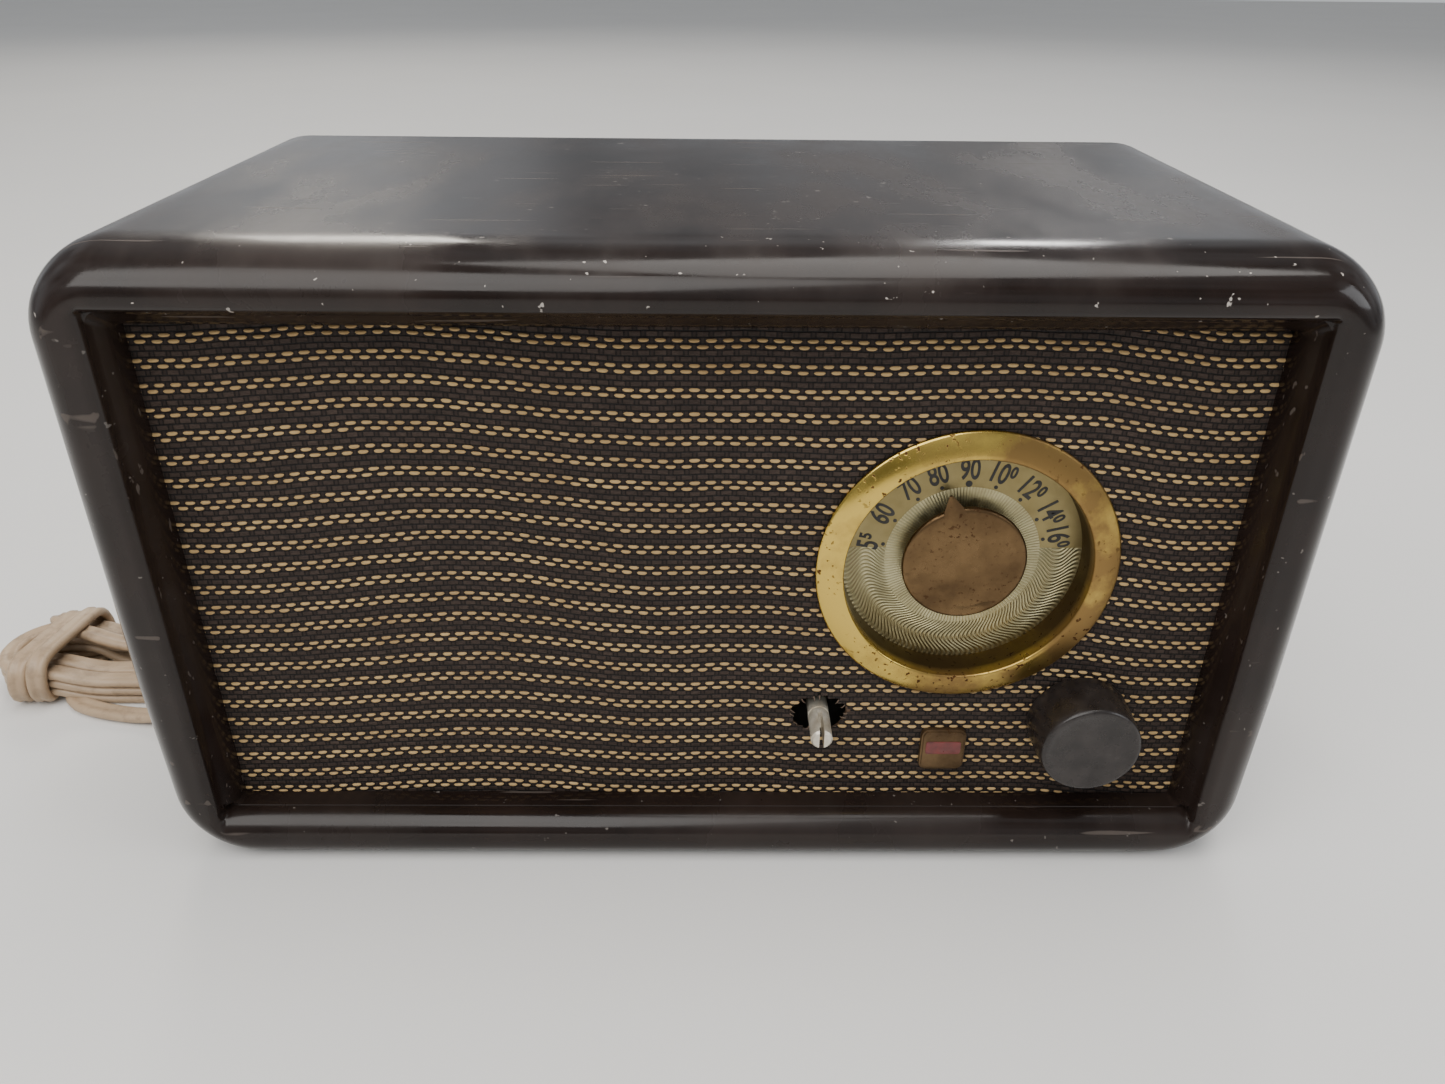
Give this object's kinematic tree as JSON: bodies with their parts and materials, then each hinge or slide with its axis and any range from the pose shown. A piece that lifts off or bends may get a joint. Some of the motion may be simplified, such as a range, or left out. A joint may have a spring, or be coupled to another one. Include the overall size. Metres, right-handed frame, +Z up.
{
  "type": "tabletop radio",
  "caption": "Moulded tabletop valve radio with a woven grille, round brass dial, tuning knob, bare volume shaft, chassis, loudspeaker, back cover and a tied flat mains cord.",
  "frame": {"origin": "on the surface the radio stands on, in the middle of its box without the cord", "axes": "+X to the right as the front is seen, -Y towards the front, +Z up"},
  "size_m": [0.431, 0.2335, 0.1865],
  "materials": {
    "bakelite": "glossy dark brown phenolic moulding, hazed and scratched",
    "felt": "pressed felt",
    "hardboard": "pressed fibre board",
    "grille_weave": "brown weave with pairs of tan dashed threads",
    "dial_brass": "tarnished and pitted lacquered brass",
    "dial_gold": "pale gold engine-turned plate with dark numbers",
    "pointer_brass": "rosy tarnished brass with specks",
    "badge_metal": "aged brass with red enamel",
    "knob_plastic": "worn dark brown phenolic",
    "shaft_metal": "satin, dulled",
    "plated_steel": "dull cadmium plate",
    "chassis_steel": "dull zinc plate",
    "cord_textile": "waxed dial cord",
    "spring_steel": "bright wire",
    "vane_aluminium": "satin",
    "paxolin": "brown laminated board",
    "rubber": "matt",
    "valve_glass": "clear bulb with a silvered top",
    "can_aluminium": "satin",
    "coil_wax": "waxed winding",
    "lamination_steel": "varnished laminations",
    "coil_paper": "varnished paper",
    "resistor_body": "banded carbon composition",
    "capacitor_wax": "waxed paper tube",
    "cone_paper": "pressed paper pulp",
    "basket_steel": "grey enamel",
    "copper_wire": "enamelled copper winding",
    "screw_steel": "dull",
    "cord_plastic": "aged tan vinyl",
    "plug_plastic": "brown moulded plug",
    "blade_brass": "dull brass"
  },
  "bodies": {
    "radio": {"cabinet": "bakelite", "feet": "felt", "baffle_board": "hardboard", "grille_cloth": "grille_weave", "board_screws": "screw_steel", "dial_bezel": "dial_brass", "dial_plate": "dial_gold", "badge": "badge_metal", "tuning_bushing": "plated_steel", "volume_bushing": "plated_steel", "volume_control": "plated_steel", "power_switch": "paxolin", "dial_cord": "cord_textile", "capacitor_frame": "plated_steel", "capacitor_stator": "vane_aluminium", "stator_bars": "paxolin", "capacitor_grommets": "rubber", "chassis": "chassis_steel", "chassis_bolts": "screw_steel", "valve_sockets": "paxolin", "converter_valve": "valve_glass", "if_valve": "valve_glass", "detector_valve": "valve_glass", "output_valve": "valve_glass", "rectifier_valve": "valve_glass", "first_if_can": "can_aluminium", "second_if_can": "can_aluminium", "filter_capacitor": "can_aluminium", "oscillator_coil": "coil_wax", "transformer_core": "lamination_steel", "transformer_coil": "coil_paper", "tag_strip": "paxolin", "resistors": "resistor_body", "paper_capacitors": "capacitor_wax", "speaker_gasket": "cone_paper", "speaker_basket": "basket_steel", "speaker_magnet": "lamination_steel", "speaker_surround": "cone_paper", "speaker_spider": "coil_paper", "speaker_nuts": "screw_steel", "back_cover": "hardboard", "loop_antenna": "copper_wire", "back_screws": "screw_steel", "strain_relief": "rubber", "power_cord": "cord_plastic", "cord_hank": "cord_plastic", "plug_body": "plug_plastic", "plug_blades": "blade_brass"},
    "dial_train": {"pointer_disc": "pointer_brass", "dial_drum": "vane_aluminium", "cord_spring": "spring_steel", "capacitor_rotor": "vane_aluminium"},
    "tuning_control": {"tuning_knob": "knob_plastic", "tuning_shaft": "shaft_metal", "shaft_clip": "spring_steel"},
    "volume_control_shaft": {"volume_shaft": "shaft_metal"},
    "speaker_motion": {"speaker_cone": "cone_paper", "voice_coil": "copper_wire"}
  },
  "joints": [
    {"name": "dial_turn", "type": "hinge", "parent": "radio", "child": "dial_train", "pos_m": [0.071, 0, 0.0968], "axis": [0, -1, 0], "range_deg": [-113, 67]},
    {"name": "tuning_turn", "type": "hinge", "parent": "radio", "child": "tuning_control", "pos_m": [0.1095, 0, 0.0464], "axis": [0, -1, 0], "range_deg": [-1347.9, 799.6]},
    {"name": "volume_turn", "type": "hinge", "parent": "radio", "child": "volume_control_shaft", "pos_m": [0.0325, 0, 0.0464], "axis": [0, 1, 0], "range_deg": [0, 300]},
    {"name": "cone_stroke", "type": "slide", "parent": "radio", "child": "speaker_motion", "axis": [0, 1, 0], "range_m": [-0.001, 0.001], "stiffness_N_per_m": 1500}
  ],
  "couplings": [
    {"joint": "tuning_turn", "follows": "dial_turn", "ratio": 11.919}
  ]
}
